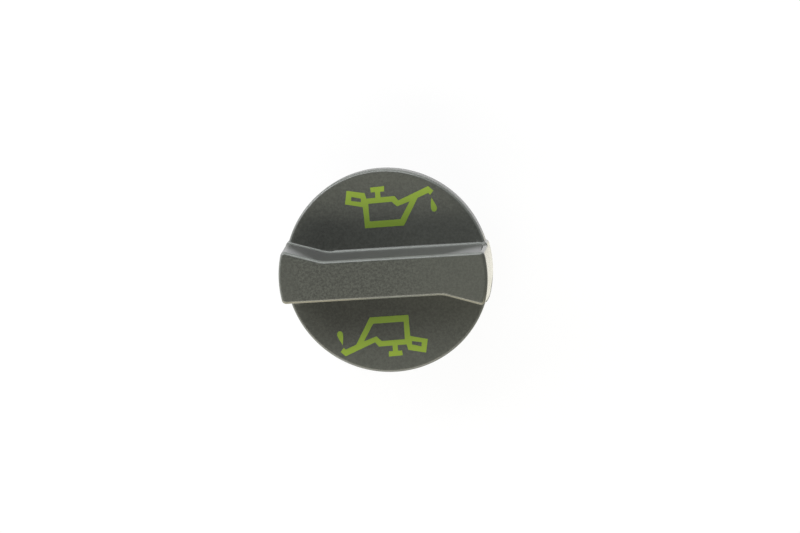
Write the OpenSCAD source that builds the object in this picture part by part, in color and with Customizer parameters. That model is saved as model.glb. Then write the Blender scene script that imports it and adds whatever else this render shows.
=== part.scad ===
// Oil filler cap with a kinked grip bar across a dished disc.
// The cap stands on the end of its neck, +Z is up and +X runs along the grip bar.
// All lengths are in millimetres and all angles in degrees.

/* [Disc] */
// Diameter of the disc
disc_d = 60; // [50:1:72]
// Height of the rim, from its lower edge to the edge of the face
rim_h = 4.8; // [4:0.1:6]
// Wall of the face
face_t = 1.8; // [1.4:0.1:2.2]
// Wall of the skirt under the rim
skirt_t = 2; // [1.5:0.1:2.5]
// How deep the middle of the face is dished
dish_h = 1.2; // [0.6:0.1:1.5]
// Rounding of the rim's upper edge
rim_round = 0.9; // [0.6:0.05:1.2]

/* [Grip bar] */
// Height of the bar above the edge of the face
bar_h = 10.6; // [8:0.1:13]
// Width of the bar along its straight middle, at the top
bar_w = 11.7; // [9:0.1:14]
// Width of the bar at its flared ends, at the top
bar_end_w = 15.5; // [14:0.1:19]
// Distance from the middle of the bar to each kink
kink_x = 17; // [14:0.1:21]
// Draft of the long sides
side_draft = 3.5; // [2:0.5:6]
// Draft of the two ends
end_draft = 2.5; // [1:0.5:4]
// How far the ends stand out past the disc
end_proud = 0.5; // [0.3:0.1:1]
// Rounding along the upper edges of the bar
top_round = 1; // [0.6:0.1:1.1]
// Rounding where the long sides meet the face
foot_round = 0.7; // [0.4:0.1:0.9]
// Rounding of the upright corners at the ends
corner_round = 1.3; // [1.2:0.1:1.8]
// Rounding of the kinks
kink_round = 9; // [6:0.5:12]

/* [Hollow of the bar] */
// Wall of the long sides and the top of the bar
bar_wall = 2; // [1.6:0.1:2.4]
// Wall of the two ends of the bar
end_wall = 3; // [2.9:0.1:4]
// Number of cross ribs in the hollow
rib_n = 4; // [2:1:6]
// Distance from one cross rib to the next
rib_pitch = 9; // [7:0.1:11]
// Thickness of a cross rib
rib_t = 1.4; // [1:0.1:2]

/* [Neck] */
// Diameter of the neck
neck_d = 34; // [30:0.5:38]
// Wall of the neck
neck_wall = 2.2; // [1.8:0.1:3]
// Length of the pilot below the lugs
pilot_h = 4.2; // [3.5:0.1:6]
// How much narrower the pilot is than the neck, on the radius
pilot_step = 0.4; // [0.2:0.1:0.8]
// Space for the rim of the filler opening, between lugs and seal
lock_gap = 5.6; // [5:0.1:7]
// Lead-in chamfer at the end of the neck
lead_in = 0.6; // [0.4:0.1:1]
// Height of the cross ribs in the neck
web_h = 5.5; // [4:0.1:7]
// Thickness of the cross ribs in the neck
web_t = 1.6; // [1.2:0.1:2]

/* [Bayonet lugs] */
// How far each lug stands out from the neck
lug_out = 3.6; // [2.5:0.1:5]
// Thickness of each lug
lug_t = 3.2; // [2.5:0.1:4.5]
// Angle that each lug spans
lug_span = 54; // [40:1:70]
// Angle from the grip bar to the middle of each lug
lug_turn = 0; // [0:5:90]
// Slope of the run-on ramp
ramp_slope = 9; // [7:0.5:11]
// Height of the end stop above its lug
stop_h = 2.2; // [1.8:0.1:3]
// Angle that the end stop spans
stop_span = 7; // [5:1:9]

/* [Flange and key] */
// Thickness of the flange
flange_t = 2.2; // [1.8:0.1:3]
// How far the flange reaches up into the skirt
flange_seat = 0.4; // [0.3:0.05:0.5]
// Gap all round between the flange and the skirt
flange_gap = 0.2; // [0.1:0.05:0.4]
// Width of each ring that carries the disc on the flange
land_w = 1.4; // [1:0.1:2]
// Height of the key that turns the neck
key_h = 5; // [4:0.1:6]
// Length of the key
key_l = 26; // [21:0.5:31]
// Thickness of the plates of the key
key_t = 1.8; // [1.4:0.1:2.2]
// Gap between the key and the hollow of the bar
key_gap = 0.2; // [0.1:0.05:0.3]

/* [Seal] */
// Thickness of the sealing ring
seal_t = 2.6; // [2:0.1:3.5]
// Width of the sealing ring, from its bore to its outside
seal_w = 5.4; // [4:0.1:6.5]
// How far the seat of the ring stands out from the neck
seat_out = 1.2; // [0.8:0.1:1.6]
// Rounding of the edges of the ring
seal_round = 0.5; // [0.3:0.05:0.7]
// Depth of the two grooves in the lower face of the ring
groove_h = 0.4; // [0.3:0.05:0.6]
// Gap between the ring and its seat
seal_gap = 0.1; // [0.05:0.05:0.2]
// Height of the bead that keeps the ring on its seat
bead_h = 0.9; // [0.6:0.1:1.2]
// How far the bead stands out from the seat
bead_out = 0.5; // [0.3:0.1:0.8]

/* [Hidden] */
$fn = 128;

// Depth of overlap between shapes that are joined or cut
bite = 1;
// Steps along the rounded ends and the other curves
end_steps = 12;
corner_steps = 4;
kink_steps = 4;
dish_steps = 12;
round_steps = 4;

// Levels, from the end of the neck upwards
lug_z = pilot_h;
seal_z = lug_z + lug_t + lock_gap;
flange_z = seal_z + seal_t;
flange_top = flange_z + flange_t;
skirt_z = flange_top - flange_seat;
face_edge_z = skirt_z + rim_h;
bar_top = face_edge_z + bar_h;
key_top = flange_top + key_h;

// Radii
disc_r = disc_d / 2;
skirt_r = disc_r - skirt_t;
face_r = disc_r - rim_round;
bar_end_r = disc_r + end_proud;
flange_r = skirt_r - flange_gap;
neck_r = neck_d / 2;
pilot_r = neck_r - pilot_step;
neck_bore_r = neck_r - neck_wall;
lug_r = neck_r + lug_out;
seat_r = neck_r + seat_out;
seal_in_r = seat_r + seal_gap;
seal_out_r = seal_in_r + seal_w;

// Distance from the axis to the points that the ends of the bar's lofts are fanned about
hub_x = 0.7 * kink_x;

// The flared side runs from the kink to the corner at the end of the bar
corner_y = bar_end_w - bar_w / 2;
corner_x = sqrt(pow(end_r(bar_h), 2) - pow(corner_y, 2));
flare = atan2(corner_y - bar_w / 2, corner_x - kink_x);
flare_normal = [sin(flare), cos(flare)];
flare_along = [-cos(flare), sin(flare)];

// Height of the face at a distance r from the axis
function face_z(r) = face_edge_z - dish_h * max(0, 1 - pow(r / face_r, 2));

// Distance from the straight side to its place at the top, at height h above the face's edge
function side_out(h) = (bar_h - h) * tan(side_draft);

// Radius of the ends of the bar at height h above the face's edge
function end_r(h) = bar_end_r - h * tan(end_draft);

// Points of an arc about c, leaving out the first and last where skip is 1
function arc(c, r, from, to, steps, skip = 0) =
    [for (i = [skip:steps - skip])
        let (a = from + (to - from) * i / steps)
        c + r * [cos(a), sin(a)]];

// Half of the bar's outline, anticlockwise from its +X end. The long sides lie
// out beyond their place at the top, and the end is an arc of radius end about the axis.
function half_outline(out, end, corner) =
    let (
        side = bar_w / 2 + out,
        flared = flare_normal * [-kink_x, bar_w / 2] + out,
        straight_c = [sqrt(pow(end - corner, 2) - pow(side - corner, 2)), side - corner],
        flared_c = flare_normal * (flared - corner)
            + flare_along * sqrt(pow(end - corner, 2) - pow(flared - corner, 2)),
        kink_y = side + kink_round,
        kink_c = [(flared + kink_round - flare_normal.y * kink_y) / flare_normal.x, kink_y],
        straight_a = atan2(straight_c.y, straight_c.x),
        flared_a = atan2(flared_c.y, flared_c.x)
    )
    concat(
        arc([0, 0], end, flared_a - 180, straight_a, end_steps, 1),
        arc(straight_c, corner, straight_a, 90, corner_steps),
        arc(kink_c, kink_round, -90, -90 - flare, kink_steps),
        arc(flared_c, corner, 90 - flare, flared_a, corner_steps)
    );

// The whole outline, which is the same after half a turn
function outline(out, end, corner) =
    let (half = half_outline(out, end, corner))
    concat(half, -half);

// An outline lifted to height z
function ring(points, z) = [for (p = points) [p.x, p.y, z]];

// An outline lifted to height up above the face
function ring_on_face(points, up) = [for (p = points) [p.x, p.y, face_z(norm(p)) + up]];

// The two points that the end of a loft is fanned about, because a ring with kinks isn't convex
function hubs(ring) = [[hub_x, 0, ring[0].z], [-hub_x, 0, ring[0].z]];

// Triangles that close a ring. Its points start at number first, its two hubs at number hub.
function cap(ring, first, hub) =
    [for (i = [0:len(ring) - 1])
        let (
            j = (i + 1) % len(ring),
            near_i = hub + (ring[i].x > 0 ? 0 : 1),
            near_j = hub + (ring[j].x > 0 ? 0 : 1)
        )
        each concat(
            [[near_i, first + i, first + j]],
            near_i == near_j ? [] : [[near_i, first + j, near_j]]
        )];

// A solid through rings of equally many points, from the lowest to the highest
module loft(rings) {
    n = len(rings[0]);
    last = len(rings) - 1;
    bottom_hub = len(rings) * n;
    top_hub = bottom_hub + 2;
    points = concat([for (r = rings) each r], hubs(rings[0]), hubs(rings[last]));
    sides = [for (k = [0:last - 1]) for (i = [0:n - 1])
        let (j = (i + 1) % n)
        each [[k * n + i, k * n + n + i, k * n + n + j], [k * n + i, k * n + n + j, k * n + j]]];
    bottom = cap(rings[0], 0, bottom_hub);
    top = [for (t = cap(rings[last], last * n, top_hub)) [t[0], t[2], t[1]]];
    polyhedron(points = points, faces = concat(bottom, sides, top));
}

// The outside of the grip bar, from the lower edge of the skirt to its top
module bar_body() {
    foot_out = side_out(0) + foot_round;
    shoulder_h = bar_h - top_round;
    foot = outline(foot_out, end_r(0), corner_round);
    foot_rings = [for (i = [1:round_steps])
        let (a = 90 * i / round_steps)
        ring_on_face(outline(foot_out - foot_round * sin(a), end_r(0), corner_round),
            foot_round * (1 - cos(a)))];
    top_rings = [for (i = [0:round_steps])
        let (a = 90 * i / round_steps, in = top_round * (1 - cos(a)))
        ring(outline(side_out(shoulder_h) - in, end_r(shoulder_h) - in, corner_round - in),
            face_edge_z + shoulder_h + top_round * sin(a))];
    loft(concat(
        [ring(outline(foot_out, end_r(-rim_h), corner_round), skirt_z - bite)],
        [ring_on_face(foot, -foot_round / 10)],
        foot_rings,
        top_rings
    ));
}

// The hollow of the bar, open below, with its cross ribs left standing
module bar_hollow() {
    roof_z = bar_top - bar_wall;
    inner_corner = corner_round / 2;
    difference() {
        intersection() {
            loft([for (h = [-rim_h - bite, bar_h + bite])
                ring(outline(side_out(h) - bar_wall, end_r(h) - end_wall, inner_corner),
                    face_edge_z + h)]);
            cylinder(r = bar_end_r, h = roof_z);
        }
        for (i = [0:rib_n - 1])
            translate([(i - (rib_n - 1) / 2) * rib_pitch - rib_t / 2, -bar_end_w, key_top + key_gap])
                cube([rib_t, 2 * bar_end_w, bar_top]);
    }
}

// The disc with its dished face and its skirt, one even wall
module disc_shell() {
    edge = [disc_r - rim_round, face_edge_z - rim_round];
    top = [for (i = [0:dish_steps - 1])
        let (r = face_r * i / dish_steps)
        [r, face_z(r)]];
    under = [for (i = [dish_steps:-1:0])
        let (r = skirt_r * i / dish_steps)
        [r, face_z(r) - face_t]];
    rotate_extrude()
        polygon(concat(
            top,
            arc(edge, rim_round, 90, 0, round_steps),
            [[disc_r, skirt_z], [skirt_r, skirt_z]],
            under
        ));
}

// A ring under the face that lands on the flange
module land(r) {
    rotate_extrude()
        translate([r - land_w / 2, skirt_z])
            square([land_w, face_z(r) - face_t / 2 - skirt_z]);
}

// The seat of the flange inside the skirt, with all that lies below the skirt's edge
module flange_recess() {
    beyond_r = disc_r + bar_end_w;
    below_z = skirt_z - rim_h;
    rotate_extrude()
        polygon([
            [0, below_z],
            [beyond_r, below_z],
            [beyond_r, skirt_z],
            [skirt_r, skirt_z],
            [skirt_r, flange_top],
            [0, flange_top]
        ]);
}

module grip_cap() {
    inner_land_r = seat_r + land_w;
    outer_land_r = flange_r - 1.5 * land_w;
    color([0.33, 0.34, 0.33])
        difference() {
            union() {
                disc_shell();
                bar_body();
                land(inner_land_r);
                land(outer_land_r);
            }
            bar_hollow();
            flange_recess();
        }
}

// A sector of the neck's outside, height h up from the lower face of the lugs
module lug_sector(span, h) {
    inner_r = neck_r - neck_wall / 2;
    rotate_extrude(angle = span)
        translate([inner_r, lug_z])
            square([lug_r - inner_r, h]);
}

// One bayonet lug. It closes clockwise, so its ramp comes first and its end stop last.
module lug() {
    ramp_l = 2 * lug_r;
    difference() {
        lug_sector(lug_span, lug_t);
        translate([0, 0, lug_z + lug_t / 2])
            rotate([ramp_slope, 0, 0])
                translate([0, -ramp_l / 2, 0])
                    cube([ramp_l, ramp_l, ramp_l]);
    }
    rotate([0, 0, lug_span - stop_span])
        lug_sector(stop_span, lug_t + stop_h);
}

// The upstanding key, which enters the hollow of the bar and turns with it
module key() {
    half_w = bar_w / 2 + side_out(key_top - face_edge_z) - bar_wall - key_gap;
    plate_z = flange_top - flange_t / 2;
    plate_h = key_top - plate_z;
    translate([-key_l / 2, -key_t / 2, plate_z])
        cube([key_l, key_t, plate_h]);
    for (x = [-1, 0, 1] * (key_l - key_t) / 2)
        translate([x - key_t / 2, -half_w, plate_z])
            cube([key_t, 2 * half_w, plate_h]);
}

// Flange, seat of the seal and neck, turned about the axis
module neck_body() {
    bead_z = seal_z - seal_gap - bead_h;
    rotate_extrude()
        polygon([
            [neck_bore_r, 0],
            [pilot_r - lead_in, 0],
            [pilot_r, lead_in],
            [pilot_r, lug_z],
            [neck_r, lug_z],
            [neck_r, bead_z],
            [seat_r, bead_z],
            [seat_r + bead_out, bead_z + bead_h / 2],
            [seat_r + bead_out, bead_z + bead_h * 2 / 3],
            [seat_r, bead_z + bead_h],
            [seat_r, flange_z],
            [flange_r - flange_t / 2, flange_z],
            [flange_r, flange_z + flange_t / 2],
            [flange_r, flange_top],
            [0, flange_top],
            [0, flange_z],
            [neck_bore_r, flange_z]
        ]);
}

module closure_plug() {
    color([0.12, 0.12, 0.13]) {
        neck_body();
        key();
        for (turn = [0, 180])
            rotate([0, 0, turn + lug_turn - lug_span / 2])
                lug();
        for (turn = [45, 135])
            rotate([0, 0, turn])
                translate([-neck_bore_r - neck_wall / 2, -web_t / 2, flange_z - web_h])
                    cube([2 * neck_bore_r + neck_wall, web_t, web_h + flange_t / 2]);
    }
}

module seal_ring() {
    lower = seal_z + seal_round;
    upper = flange_z - seal_round;
    left = seal_in_r + seal_round;
    right = seal_out_r - seal_round;
    color([0.05, 0.05, 0.05])
        rotate_extrude()
            difference() {
                polygon(concat(
                    arc([right, lower], seal_round, -90, 0, round_steps),
                    arc([right, upper], seal_round, 0, 90, round_steps),
                    arc([left, upper], seal_round, 90, 180, round_steps),
                    arc([left, lower], seal_round, 180, 270, round_steps)
                ));
                for (share = [1, 2] / 3)
                    translate([seal_in_r + seal_w * share, seal_z])
                        polygon([[-groove_h, -groove_h / 2], [groove_h, -groove_h / 2], [0, groove_h]]);
            }
}

grip_cap();
closure_plug();
seal_ring();
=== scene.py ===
import math

import bpy
from mathutils import Matrix, Vector


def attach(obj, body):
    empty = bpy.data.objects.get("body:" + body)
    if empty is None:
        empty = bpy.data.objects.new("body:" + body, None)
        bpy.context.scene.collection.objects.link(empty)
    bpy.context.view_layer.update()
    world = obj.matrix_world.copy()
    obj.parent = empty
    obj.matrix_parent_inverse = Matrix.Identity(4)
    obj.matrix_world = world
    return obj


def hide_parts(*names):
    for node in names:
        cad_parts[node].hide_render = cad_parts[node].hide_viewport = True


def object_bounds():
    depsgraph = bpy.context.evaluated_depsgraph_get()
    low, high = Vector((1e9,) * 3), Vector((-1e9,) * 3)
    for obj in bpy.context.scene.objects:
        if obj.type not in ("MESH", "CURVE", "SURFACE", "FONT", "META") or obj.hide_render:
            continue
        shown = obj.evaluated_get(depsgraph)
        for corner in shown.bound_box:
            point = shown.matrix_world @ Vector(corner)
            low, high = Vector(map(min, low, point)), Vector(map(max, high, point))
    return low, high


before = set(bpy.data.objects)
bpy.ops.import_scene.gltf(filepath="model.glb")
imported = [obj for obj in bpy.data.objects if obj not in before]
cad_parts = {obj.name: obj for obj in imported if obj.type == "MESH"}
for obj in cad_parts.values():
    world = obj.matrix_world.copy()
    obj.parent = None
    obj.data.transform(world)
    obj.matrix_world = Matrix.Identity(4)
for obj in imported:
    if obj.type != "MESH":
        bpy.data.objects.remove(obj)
cad_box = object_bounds()
scene = bpy.context.scene
MM = 0.001

# Sizes of the cap that the signs, the finishes and the camera follow, in millimetres
BAR_H = 10.6
RIM_H = 4.8
RIM_ROUND = 0.9
DISH_H = 1.2
END_CORNER_X = 28.4
END_HALF_W = 8.6
RIM_R = cad_box[1][1] / MM
FACE_R = RIM_R - RIM_ROUND
BAR_TOP_Z = cad_box[1][2] / MM
FACE_EDGE_Z = BAR_TOP_Z - BAR_H
SKIRT_Z = FACE_EDGE_Z - RIM_H

# How a copy is welded, in millimetres, and shaded: the bend in degrees that counts as round,
# and how much more than a small face a large one counts
WELD = 0.002
ROUND_ANGLE = 32
FACE_WEIGHT = 60

# Working helpers for pieces


def select_only(piece):
    """Leaves one piece selected and active, so that an operator acts on it alone."""
    bpy.ops.object.select_all(action="DESELECT")
    piece.select_set(True)
    bpy.context.view_layer.objects.active = piece


def apply_modifiers(piece):
    """Turns a piece's modifiers into its own mesh, in their order."""
    select_only(piece)
    for modifier in list(piece.modifiers):
        bpy.ops.object.modifier_apply(modifier=modifier.name)


def finished_copy(node, name, material):
    """A copy of a CAD node, welded and shaded as a moulding whose small radii run on smoothly."""
    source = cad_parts[node]
    piece = source.copy()
    piece.data = source.data.copy()
    piece.name = name
    bpy.context.collection.objects.link(piece)
    piece.parent = None
    select_only(piece)
    bpy.ops.object.mode_set(mode="EDIT")
    bpy.ops.mesh.select_all(action="SELECT")
    bpy.ops.mesh.remove_doubles(threshold=WELD * MM)
    bpy.ops.object.mode_set(mode="OBJECT")
    bpy.ops.mesh.customdata_custom_splitnormals_clear()
    bpy.ops.object.shade_smooth_by_angle(angle=math.radians(ROUND_ANGLE))
    weighted = piece.modifiers.new("weighted", "WEIGHTED_NORMAL")
    weighted.keep_sharp = True
    weighted.weight = FACE_WEIGHT
    apply_modifiers(piece)
    piece.data.materials.clear()
    piece.data.materials.append(material)
    return piece


# Materials: one class for maths on sockets, one for the other nodes


class Value:
    """A number or a colour that changes over the surface. Arithmetic on numbers adds Math nodes."""

    def __init__(self, finish, socket):
        self.finish = finish
        self.socket = socket

    def math(self, operation, *values):
        return self.finish.node("ShaderNodeMath", {"operation": operation}, dict(enumerate(values)))

    def __add__(self, other):
        return self.math("ADD", self, other)

    def __radd__(self, other):
        return self.math("ADD", other, self)

    def __sub__(self, other):
        return self.math("SUBTRACT", self, other)

    def __rsub__(self, other):
        return self.math("SUBTRACT", other, self)

    def __mul__(self, other):
        return self.math("MULTIPLY", self, other)

    def __rmul__(self, other):
        return self.math("MULTIPLY", other, self)

    def __pow__(self, other):
        return self.math("POWER", self, other)

    def __abs__(self):
        return self.math("ABSOLUTE", self)

    def high(self, other):
        """The larger of two values at each place."""
        return self.math("MAXIMUM", self, other)


# Masks by the way a face points: each starts at its first number and is complete at its second
LEAVES_WALL = (0.07, 0.28)
NEARS_LEVEL = (0.86, 0.97)
LEANS = (0.01, 0.04)
TURNS_BACK = (0.5, 0.8)


class Finish:
    """One material, built from nodes on the piece's own coordinates."""

    def __init__(self, name):
        self.material = bpy.data.materials.new(name)
        self.material.use_nodes = True
        self.tree = self.material.node_tree
        self.shader = self.tree.nodes["Principled BSDF"]
        self.place = self.node("ShaderNodeTexCoord", {}, {}, "Object")
        self.facing = self.node("ShaderNodeTexCoord", {}, {}, "Normal")

    def fill(self, inputs, values):
        """Links each value to its socket, or sets the socket where the value is a plain one."""
        for key, value in values.items():
            if isinstance(value, Value):
                self.tree.links.new(value.socket, inputs[key])
            else:
                inputs[key].default_value = value

    def node(self, kind, settings, values, output=0):
        made = self.tree.nodes.new(kind)
        for key, setting in settings.items():
            setattr(made, key, setting)
        self.fill(made.inputs, values)
        return Value(self, made.outputs[output])

    def feed(self, socket, value):
        self.fill(self.shader.inputs, {socket: value})

    def noise(self, size_mm, detail, roughness=0.5):
        """Noise whose lumps are about size_mm across."""
        scale = (1 / (size_mm * MM),) * 3
        place = self.node("ShaderNodeMapping", {}, {"Vector": self.place, "Scale": scale})
        values = {"Vector": place, "Scale": 1.0, "Detail": detail, "Roughness": roughness}
        return self.node("ShaderNodeTexNoise", {}, values)

    def axis(self, name):
        return self.node("ShaderNodeSeparateXYZ", {}, {0: self.place}, name)

    def facing_axis(self, name):
        return self.node("ShaderNodeSeparateXYZ", {}, {0: self.facing}, name)

    def radius(self):
        return (self.axis("X") ** 2 + self.axis("Y") ** 2) ** 0.5

    def step(self, value, limits):
        """Rises smoothly from nought at the first limit to one at the second."""
        settings = {"interpolation_type": "SMOOTHSTEP"}
        values = {"Value": value, "From Min": limits[0], "From Max": limits[1]}
        return self.node("ShaderNodeMapRange", settings, values)

    def zone(self, value, limits_mm):
        """A step whose limits are places in millimetres."""
        return self.step(value, (limits_mm[0] * MM, limits_mm[1] * MM))

    def edges(self):
        """One on the small radii, which face between upright and level, and nought elsewhere."""
        up = self.facing_axis("Z")
        return self.step(up, LEAVES_WALL) * (1 - self.step(up, NEARS_LEVEL))

    def walls(self):
        """One on upright walls, nought on what faces up or down."""
        up = self.facing_axis("Z")
        return 1 - self.step(up * up, LEANS)

    def faces_back(self):
        """One on what faces the back of the picture, nought on all the rest."""
        return self.step(self.facing_axis("Y"), TURNS_BACK)

    def mix(self, factor, first, second):
        """Goes from the first colour to the second as the factor goes from nought to one."""
        settings = {"data_type": "RGBA"}
        return self.node("ShaderNodeMix", settings, {0: factor, 6: first, 7: second}, 2)

    def bump(self, height, distance_mm, strength=0.5):
        values = {"Height": height, "Strength": strength, "Distance": distance_mm * MM}
        return self.node("ShaderNodeBump", {}, values)


def tone(red, green, blue):
    """A colour as it is read off a screen, 0 to 255, turned into light."""
    levels = []
    for level in (red, green, blue):
        part = level / 255
        levels.append(part / 12.92 if part < 0.04045 else ((part + 0.055) / 1.055) ** 2.4)
    return (*levels, 1)


# Colours of the grip, the plug, the seal and the ink
GRIP_DARK = tone(50, 51, 47)
GRIP_PALE = tone(76, 78, 72)
# Painted highlights: paler on the grip's small radii, and warm on the bar's near top edge
GRIP_EDGE_HIGHLIGHT = tone(106, 109, 104)
GRIP_NEAR_EDGE_WARM_HIGHLIGHT = tone(138, 134, 116)
# A painted highlight on a band below the bar's far top edge
GRIP_BAND_HIGHLIGHT = tone(130, 130, 129)
PLUG_DARK = tone(43, 43, 42)
PLUG_PALE = tone(56, 56, 54)
PLUG_WORN = tone(72, 72, 69)
RUBBER_DARK = tone(33, 33, 33)
RUBBER_PALE = tone(42, 42, 41)
RUBBER_DUST = tone(96, 94, 88)
INK_DEEP = tone(101, 126, 34)
INK_FADED_AND_LIT = tone(118, 140, 37)

# Where the painted shade beside the bar gives way to a paler face, in millimetres: beside the bar by
# radius, and away from it
PALER_BY_RADIUS = (21, 28)
PALER_FROM_BAR = (13, 26)

# Where the grip's grain and light change, in millimetres along the height and to the right
BAR_TOP = (BAR_TOP_Z - 2.8, BAR_TOP_Z - 0.3)
CALM_TO_RIGHT = (0, 22)
CALM_AT_ENDS = (23, 28)
FACE_LIGHTER = (-22, 24)
BAR_LIGHTER = (-10, 30)

# The polished end walls, the duller foot of the right one, and the skirt between them
END_WALL_START = (END_CORNER_X, END_CORNER_X + 0.2)
END_WALL_SIDE = (END_HALF_W, END_HALF_W + 0.6)
PROUD_OF_RIM = (RIM_R - 0.02, RIM_R + 0.12)
ABOVE_RIM = (FACE_EDGE_Z - 0.5, FACE_EDGE_Z)
FOOT_HEIGHT = (SKIRT_Z + 1.2, SKIRT_Z + 3.4)
FOOT_SIDE = (-7, -2)
FOOT_RIGHT = (20, 24)
SKIRT_TOP = (FACE_EDGE_Z - 0.7, FACE_EDGE_Z + 0.3)

# The bar's painted highlight band on its far side, and the painted warm highlight on its near top edge
BAND_SPREAD = (14.5, 29.5)
BAND_LOW = 10
BAND_HIGH = 2.5
NEAR_SIDE = (-6, -4)
WARM_EDGE_LEFT = (-16, 2)
WARM_EDGE_RIGHT = (4, 28)
# Where the painted highlight stops, short of the top edge of the bar's right end
RIGHT_END = (END_CORNER_X, END_CORNER_X + 0.5)


def painted_light_away_from_bar(finish):
    """Nought beside the bar and one at the rim: painted shade beside the bar, paler outwards."""
    beside_bar = 0.5 * finish.zone(finish.radius(), PALER_BY_RADIUS)
    return beside_bar.high(finish.zone(abs(finish.axis("Y")), PALER_FROM_BAR))


def grip_grain(finish, mottle, speckle, top):
    """Fine grain about nought, strongest on the bar's top, calm at its ends and on walls."""
    right = finish.axis("X")
    calm = finish.zone(right, CALM_TO_RIGHT).high(finish.zone(abs(right), CALM_AT_ENDS))
    level = 0.6 + 0.5 * top - 0.6 * top * calm
    grain = 0.6 * finish.step(mottle, (0.35, 0.65)) + 0.4 * finish.step(speckle, (0.3, 0.7))
    return (grain - 0.5) * level * (1 - 0.5 * finish.walls())


def grip_paleness(finish, top):
    """How pale the moulding is, on the dished face and on top of the bar: painted shade on the face
    beside the bar, and painted light growing toward the right.
    """
    right = finish.axis("X")
    # Painted shade: the face is darker beside the bar, where the bar keeps light off it, and paler toward
    # the rim.
    outward = painted_light_away_from_bar(finish)
    # Painted light: the face and the bar's top are paler toward the right.
    lighter = finish.zone(right + 0.6 * finish.axis("Y"), FACE_LIGHTER)
    on_face = 0.08 + 0.42 * lighter * (1 - outward) + 0.48 * outward
    on_bar = 0.4 + 0.25 * finish.zone(right, BAR_LIGHTER)
    return (1 - top) * on_face + top * on_bar


def end_walls(finish):
    """One on the bar's two end walls, which stand proud of the rim, and nought elsewhere."""
    ends = finish.zone(abs(finish.axis("X")), END_WALL_START)
    inside = 1 - finish.zone(abs(finish.axis("Y")), END_WALL_SIDE)
    proud = finish.zone(finish.radius(), PROUD_OF_RIM)
    return ends * inside * proud.high(finish.zone(finish.axis("Z"), ABOVE_RIM))


def right_foot(finish):
    """One at the near foot of the right end wall, which is duller than the rest of it."""
    low = 1 - finish.zone(finish.axis("Z"), FOOT_HEIGHT)
    near = 1 - finish.zone(finish.axis("Y"), FOOT_SIDE)
    return low * near * finish.zone(finish.axis("X"), FOOT_RIGHT)


def painted_highlight_band(finish):
    """One on a band below the bar's far top edge, which grows wider toward both ends, where a highlight
    is painted.
    """
    right = finish.axis("X")
    spread = finish.zone(abs(right) + 0.04 * right, BAND_SPREAD)
    low = BAR_TOP_Z * MM - BAND_LOW * MM * spread
    high = BAR_TOP_Z * MM - BAND_HIGH * MM * spread
    return finish.step(finish.axis("Z"), (low, high)) * spread * finish.faces_back()


def near_edge_warm_highlight(finish):
    """How much warm highlight is painted on the bar's near side: more toward its two ends than in the
    middle.
    """
    right = finish.axis("X")
    near = 1 - finish.zone(finish.axis("Y"), NEAR_SIDE)
    at_left = 1 - finish.zone(right, WARM_EDGE_LEFT)
    return near * at_left.high(0.8 * finish.zone(right, WARM_EDGE_RIGHT))


def grip_plastic():
    """Grained moulding, with highlights painted on its edges and shade painted beside the bar, and
    polished on the bar's two end walls.
    """
    finish = Finish("grip_plastic")
    mottle = finish.noise(0.7, detail=3.0, roughness=0.65)
    speckle = finish.noise(0.26, detail=1.0)
    cloud = finish.noise(14, detail=2.0)
    height = finish.axis("Z")
    top = finish.zone(height, BAR_TOP)
    upright = finish.walls()
    foot = right_foot(finish)
    ends = end_walls(finish)
    polish = ends * upright * (1 - foot)
    skirt = (1 - ends) * upright * (1 - finish.zone(height, SKIRT_TOP))
    pale = grip_grain(finish, mottle, speckle, top) + 0.2 * cloud + grip_paleness(finish, top)
    body = finish.mix(pale, GRIP_DARK, GRIP_PALE)
    # Painted highlight: a paler band below the bar's far top edge, wider toward its ends.
    body = finish.mix(painted_highlight_band(finish) * (1 - polish), body, GRIP_BAND_HIGHLIGHT)
    # Painted highlights: the small radii are paler, warm on the near top edge, and left dark at the top
    # edge of the right end.
    edges = finish.edges() * (1 - 0.85 * top * finish.zone(finish.axis("X"), RIGHT_END))
    edge_highlight = finish.mix(near_edge_warm_highlight(finish) * top, GRIP_EDGE_HIGHLIGHT, GRIP_NEAR_EDGE_WARM_HIGHLIGHT)
    finish.feed("Base Color", finish.mix(edges * (0.6 + 0.4 * mottle), body, edge_highlight))
    dull = 0.08 * mottle + 0.05 * speckle + 0.5 * foot
    finish.feed("Roughness", 0.32 + dull - 0.08 * edges - 0.14 * skirt - 0.2 * polish)
    finish.feed("Coat Weight", polish)
    finish.feed("Coat Roughness", 0.05)
    finish.feed("Coat IOR", 2.0)
    finish.feed("Sheen Weight", 0.2)
    finish.feed("Sheen Roughness", 0.35)
    relief = 0.7 * speckle + mottle * (0.5 + 0.5 * top)
    finish.feed("Normal", finish.bump(relief, 0.02, strength=0.6))
    finish.feed("IOR", 1.5)
    return finish.material


def plug_plastic():
    """Plainer, darker moulding, with a little wear on its edges."""
    finish = Finish("plug_plastic")
    mottle = finish.noise(1.4, detail=2.0)
    speckle = finish.noise(0.3, detail=1.0)
    cloud = finish.noise(11, detail=2.0)
    edges = finish.edges() * finish.step(speckle, (0.3, 0.6))
    body = finish.mix(0.5 * mottle + 0.5 * cloud, PLUG_DARK, PLUG_PALE)
    finish.feed("Base Color", finish.mix(0.6 * edges, body, PLUG_WORN))
    finish.feed("Roughness", 0.34 + 0.12 * mottle + 0.06 * cloud - 0.05 * edges)
    finish.feed("Normal", finish.bump(speckle, 0.015))
    return finish.material


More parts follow.
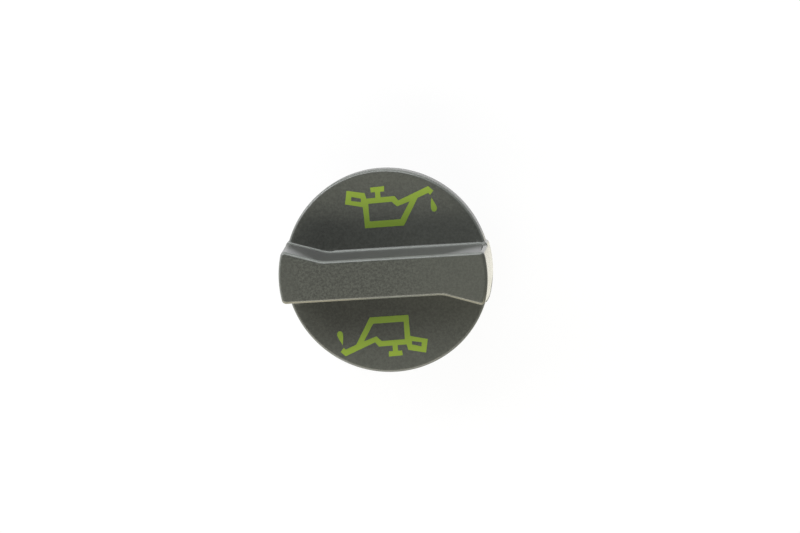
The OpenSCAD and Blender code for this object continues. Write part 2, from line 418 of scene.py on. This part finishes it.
def seal_rubber():
    """Matt rubber with specks of dust."""
    finish = Finish("seal_rubber")
    mottle = finish.noise(1.0, detail=3.0)
    speckle = finish.noise(0.22, detail=1.0)
    dust = finish.step(speckle, (0.62, 0.75)) * finish.step(mottle, (0.45, 0.65))
    body = finish.mix(mottle, RUBBER_DARK, RUBBER_PALE)
    finish.feed("Base Color", finish.mix(0.4 * dust, body, RUBBER_DUST))
    finish.feed("Roughness", 0.52 + 0.16 * mottle + 0.15 * dust)
    finish.feed("Normal", finish.bump(mottle + 0.4 * speckle, 0.01))
    return finish.material


def sign_ink():
    """Green ink, uneven in tone, with painted shade beside the bar and paler outwards, as on the face
    below it.
    """
    finish = Finish("sign_ink")
    mottle = finish.noise(0.5, detail=2.0)
    # Painted shade: the ink is darker beside the bar, as the face is.
    pale = 0.35 * mottle + 0.65 * painted_light_away_from_bar(finish)
    finish.feed("Base Color", finish.mix(pale, INK_DEEP, INK_FADED_AND_LIT))
    finish.feed("Roughness", 0.45 + 0.1 * mottle)
    return finish.material


# The oil-can sign, drawn in millimetres from the cap's axis, with its spout to the right
CAN_OUTLINE = [
    (-5.28, 13.14), (6.13, 13.24), (10.77, 21.11), (13.99, 22.36), (14.49, 21.75), (15.5, 22.93),
    (14.11, 24.33), (5.11, 20.68), (4.1, 22.04), (0.05, 21.93), (0.05, 23.58), (1.25, 23.58),
    (1.37, 25.14), (-2.77, 24.97), (-2.66, 23.53), (-1.47, 23.55), (-1.47, 21.89), (-4.12, 21.81),
    (-4.5, 23.45), (-9.68, 24.51), (-10.48, 20.56), (-5.38, 19.39),
]
CAN_WINDOW = [
    (-3.76, 15.05), (5.27, 15.17), (8.4, 20.24), (4.59, 18.98), (3.13, 20.44), (-3.72, 20.26),
]
HANDLE_WINDOW = [
    (-8.45, 22.63), (-5.7, 21.93), (-5.78, 20.91), (-8.64, 21.41),
]
DROP_OUTLINE = [
    (14.75, 20.94), (15.38, 19.74), (15.97, 18.54), (16.19, 17.75), (15.92, 17.05), (15.28, 16.75),
    (14.73, 16.95), (14.45, 17.55), (14.4, 18.34), (14.5, 19.64),
]
PRINT_SHIFT = (-0.03, -0.04)
INK_RISE = 0.035
INK_T = 0.03
INK_WELD = 0.01

# The sign is cut along lines CUT_STEP apart, counted from the axis, so that it follows the dish
CUT_STEP = 1.6
CUTS_ACROSS = range(-7, 11)
CUTS_UP = range(9, 16)


def face_height(x, y):
    """Height of the dished face at a place, all in metres."""
    reach = min(1, math.hypot(x, y) / (FACE_R * MM))
    return (FACE_EDGE_Z - DISH_H * (1 - reach * reach)) * MM


def flat_sign(name):
    """The sign's outlines as one flat mesh with its windows left open."""
    curve = bpy.data.curves.new(name, "CURVE")
    curve.dimensions = "2D"
    curve.fill_mode = "BOTH"
    for outline in (CAN_OUTLINE, CAN_WINDOW, HANDLE_WINDOW, DROP_OUTLINE):
        spline = curve.splines.new("POLY")
        spline.points.add(len(outline) - 1)
        for point, (x, y) in zip(spline.points, outline):
            point.co = (x * MM, y * MM, 0, 1)
        spline.use_cyclic_u = True
    sign = bpy.data.objects.new(name, curve)
    bpy.context.collection.objects.link(sign)
    select_only(sign)
    bpy.ops.object.convert(target="MESH")
    return bpy.context.object


def cut_small(sign):
    """Cuts a flat sign into small faces, both ways."""
    select_only(sign)
    bpy.ops.object.mode_set(mode="EDIT")
    bpy.ops.mesh.select_all(action="SELECT")
    bpy.ops.mesh.remove_doubles(threshold=INK_WELD * MM)
    for cut in CUTS_ACROSS:
        bpy.ops.mesh.select_all(action="SELECT")
        bpy.ops.mesh.bisect(plane_co=(cut * CUT_STEP * MM, 0, 0), plane_no=(1, 0, 0))
    for cut in CUTS_UP:
        bpy.ops.mesh.select_all(action="SELECT")
        bpy.ops.mesh.bisect(plane_co=(0, cut * CUT_STEP * MM, 0), plane_no=(0, 1, 0))
    bpy.ops.mesh.select_all(action="SELECT")
    bpy.ops.mesh.normals_make_consistent(inside=False)
    bpy.ops.object.mode_set(mode="OBJECT")


def printed_sign(name, turned):
    """A sign laid on the dished face as a thin film of ink, or the same turned by half a turn."""
    sign = flat_sign(name)
    cut_small(sign)
    side = -1 if turned else 1
    for vertex in sign.data.vertices:
        x = side * vertex.co.x + PRINT_SHIFT[0] * MM
        y = side * vertex.co.y + PRINT_SHIFT[1] * MM
        vertex.co = (x, y, face_height(x, y) + INK_RISE * MM)
    if sign.data.polygons[0].normal.z < 0:
        sign.data.flip_normals()
    film = sign.modifiers.new("film", "SOLIDIFY")
    film.thickness = INK_T * MM
    film.offset = -1
    apply_modifiers(sign)
    return sign


# The pieces

grip = finished_copy("grip_cap", "grip_moulding", grip_plastic())
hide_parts("grip_cap")
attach(grip, "root")

plug = finished_copy("closure_plug", "plug_moulding", plug_plastic())
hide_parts("closure_plug")
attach(plug, "root")

seal = finished_copy("seal_ring", "seal_moulding", seal_rubber())
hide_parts("seal_ring")
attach(seal, "root")

ink = sign_ink()
for name, turned in (("sign_back", False), ("sign_front", True)):
    sign = printed_sign(name, turned)
    sign.data.materials.append(ink)
    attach(sign, "root")


# Floor: white paper, whose mirror image is grey, and warm beside the bar's right end
FLOOR_SIZE = 4
PAPER = (0.86, 0.86, 0.85, 1)
SEEN_PAPER = (1, 1, 1, 1)
MIRRORED_PAPER = (0.8, 0.8, 0.8, 1)
MIRRORED_WARM = (1, 0.97, 0.85, 1)
MIRRORED_WARM_NEAR = (0.9, 0.87, 0.74, 1)
WARM_FROM_X = (20, 30)
WARM_TO_Y = (5, 11)
WARM_NEAR_Y = (-10, -5)


def floor_material():
    """Paper that takes the cap's shadow, and is white to the camera and bright in mirror images."""
    finish = Finish("floor_paper")
    finish.feed("Base Color", PAPER)
    finish.feed("Roughness", 0.9)
    camera = finish.node("ShaderNodeLightPath", {}, {}, "Is Camera Ray")
    glossy = finish.node("ShaderNodeLightPath", {}, {}, "Is Glossy Ray")
    through = finish.node("ShaderNodeLightPath", {}, {}, "Is Transmission Ray")
    across = finish.axis("Y")
    right_side = finish.zone(finish.axis("X"), WARM_FROM_X) * (1 - finish.zone(across, WARM_TO_Y))
    warm = finish.mix(finish.zone(across, WARM_NEAR_Y), MIRRORED_WARM_NEAR, MIRRORED_WARM)
    mirrored = finish.mix(right_side, MIRRORED_PAPER, warm)
    paper = finish.mix(camera, mirrored, SEEN_PAPER)
    white = finish.node("ShaderNodeEmission", {}, {"Color": paper, "Strength": 1.0})
    lit = Value(finish, finish.shader.outputs[0])
    seen = 0.92 * camera + glossy + through
    both = finish.node("ShaderNodeMixShader", {}, {0: seen, 1: lit, 2: white})
    output = finish.tree.nodes["Material Output"]
    finish.tree.links.new(both.socket, output.inputs["Surface"])
    return finish.material


bpy.ops.object.select_all(action="DESELECT")
bpy.ops.mesh.primitive_plane_add(size=FLOOR_SIZE, location=(0, 0, 0))
floor = bpy.context.object
floor.name = "floor"
floor.data.materials.append(floor_material())

# World: a soft sky for the light, and plain white where the camera looks past the floor
SKY_COLOUR = (0.95, 0.97, 1, 1)
SKY_LEVEL = 0.2


def add_world():
    world = bpy.data.worlds.new("room")
    scene.world = world
    world.use_nodes = True
    room = world.node_tree
    sky = room.nodes["Background"]
    sky.inputs["Color"].default_value = SKY_COLOUR
    sky.inputs["Strength"].default_value = SKY_LEVEL
    white = room.nodes.new("ShaderNodeBackground")
    white.inputs["Color"].default_value = (1, 1, 1, 1)
    white.inputs["Strength"].default_value = 1.0
    rays = room.nodes.new("ShaderNodeLightPath")
    both = room.nodes.new("ShaderNodeMixShader")
    room.links.new(rays.outputs["Is Camera Ray"], both.inputs[0])
    room.links.new(sky.outputs[0], both.inputs[1])
    room.links.new(white.outputs[0], both.inputs[2])
    room.links.new(both.outputs[0], room.nodes["World Output"].inputs["Surface"])


add_world()

# Lamps, all turned toward the foot of the cap


def softbox(name, place, size, power, colour):
    """A rectangle of light, with its place and its two sides in metres and its power in watts."""
    lamp = bpy.data.lights.new(name, "AREA")
    lamp.shape = "RECTANGLE"
    lamp.size, lamp.size_y = size
    lamp.energy = power
    lamp.color = colour
    holder = bpy.data.objects.new(name, lamp)
    holder.location = place
    holder.rotation_euler = (-Vector(place)).to_track_quat("-Z", "Y").to_euler()
    bpy.context.collection.objects.link(holder)


softbox("back_softbox", (-0.2, 0.5, 0.42), (1.0, 0.32), 5.6, (0.97, 0.99, 1.0))
softbox("back_strip", (0.1, 0.62, 0.16), (1.2, 0.1), 0.8, (0.93, 0.97, 1.0))
softbox("left_softbox", (-0.5, 0.34, 0.2), (0.3, 0.3), 1.4, (0.92, 0.88, 1.0))
softbox("front_softbox", (-0.15, -0.5, 0.42), (0.9, 0.32), 5.9, (1.0, 0.965, 0.84))

# Camera: where the photograph was taken from, worked out from the outline of the cap
TILT = math.radians(12.4)
TURN = math.radians(51.2)
ROLL = math.radians(3.45)
REACH = 501 * MM
FOCAL_PX = 1724
CENTRE_PX = (386.5, 272.1)
PICTURE_PX = (800, 533)
SENSOR_MM = 36


def add_camera():
    """A camera that stands REACH away from the middle of the face, and sees it as the photograph does."""
    away = Vector((math.sin(TILT) * math.cos(TURN), math.sin(TILT) * math.sin(TURN), math.cos(TILT)))
    right = Vector((math.cos(-ROLL), math.sin(-ROLL), 0))
    right = (right - right.dot(away) * away).normalized()
    up = away.cross(right)
    lens = bpy.data.cameras.new("camera")
    lens.sensor_fit = "HORIZONTAL"
    lens.sensor_width = SENSOR_MM
    lens.lens = FOCAL_PX * SENSOR_MM / PICTURE_PX[0]
    lens.shift_x = (PICTURE_PX[0] / 2 - CENTRE_PX[0]) / PICTURE_PX[0]
    lens.shift_y = (CENTRE_PX[1] - PICTURE_PX[1] / 2) / PICTURE_PX[0]
    camera = bpy.data.objects.new("camera", lens)
    bpy.context.collection.objects.link(camera)
    centre = Vector((0, 0, FACE_EDGE_Z * MM)) + REACH * away
    turn = Matrix((right, up, away)).transposed().to_4x4()
    camera.matrix_world = Matrix.Translation(centre) @ turn
    scene.camera = camera


add_camera()
scene.view_settings.view_transform = "Standard"
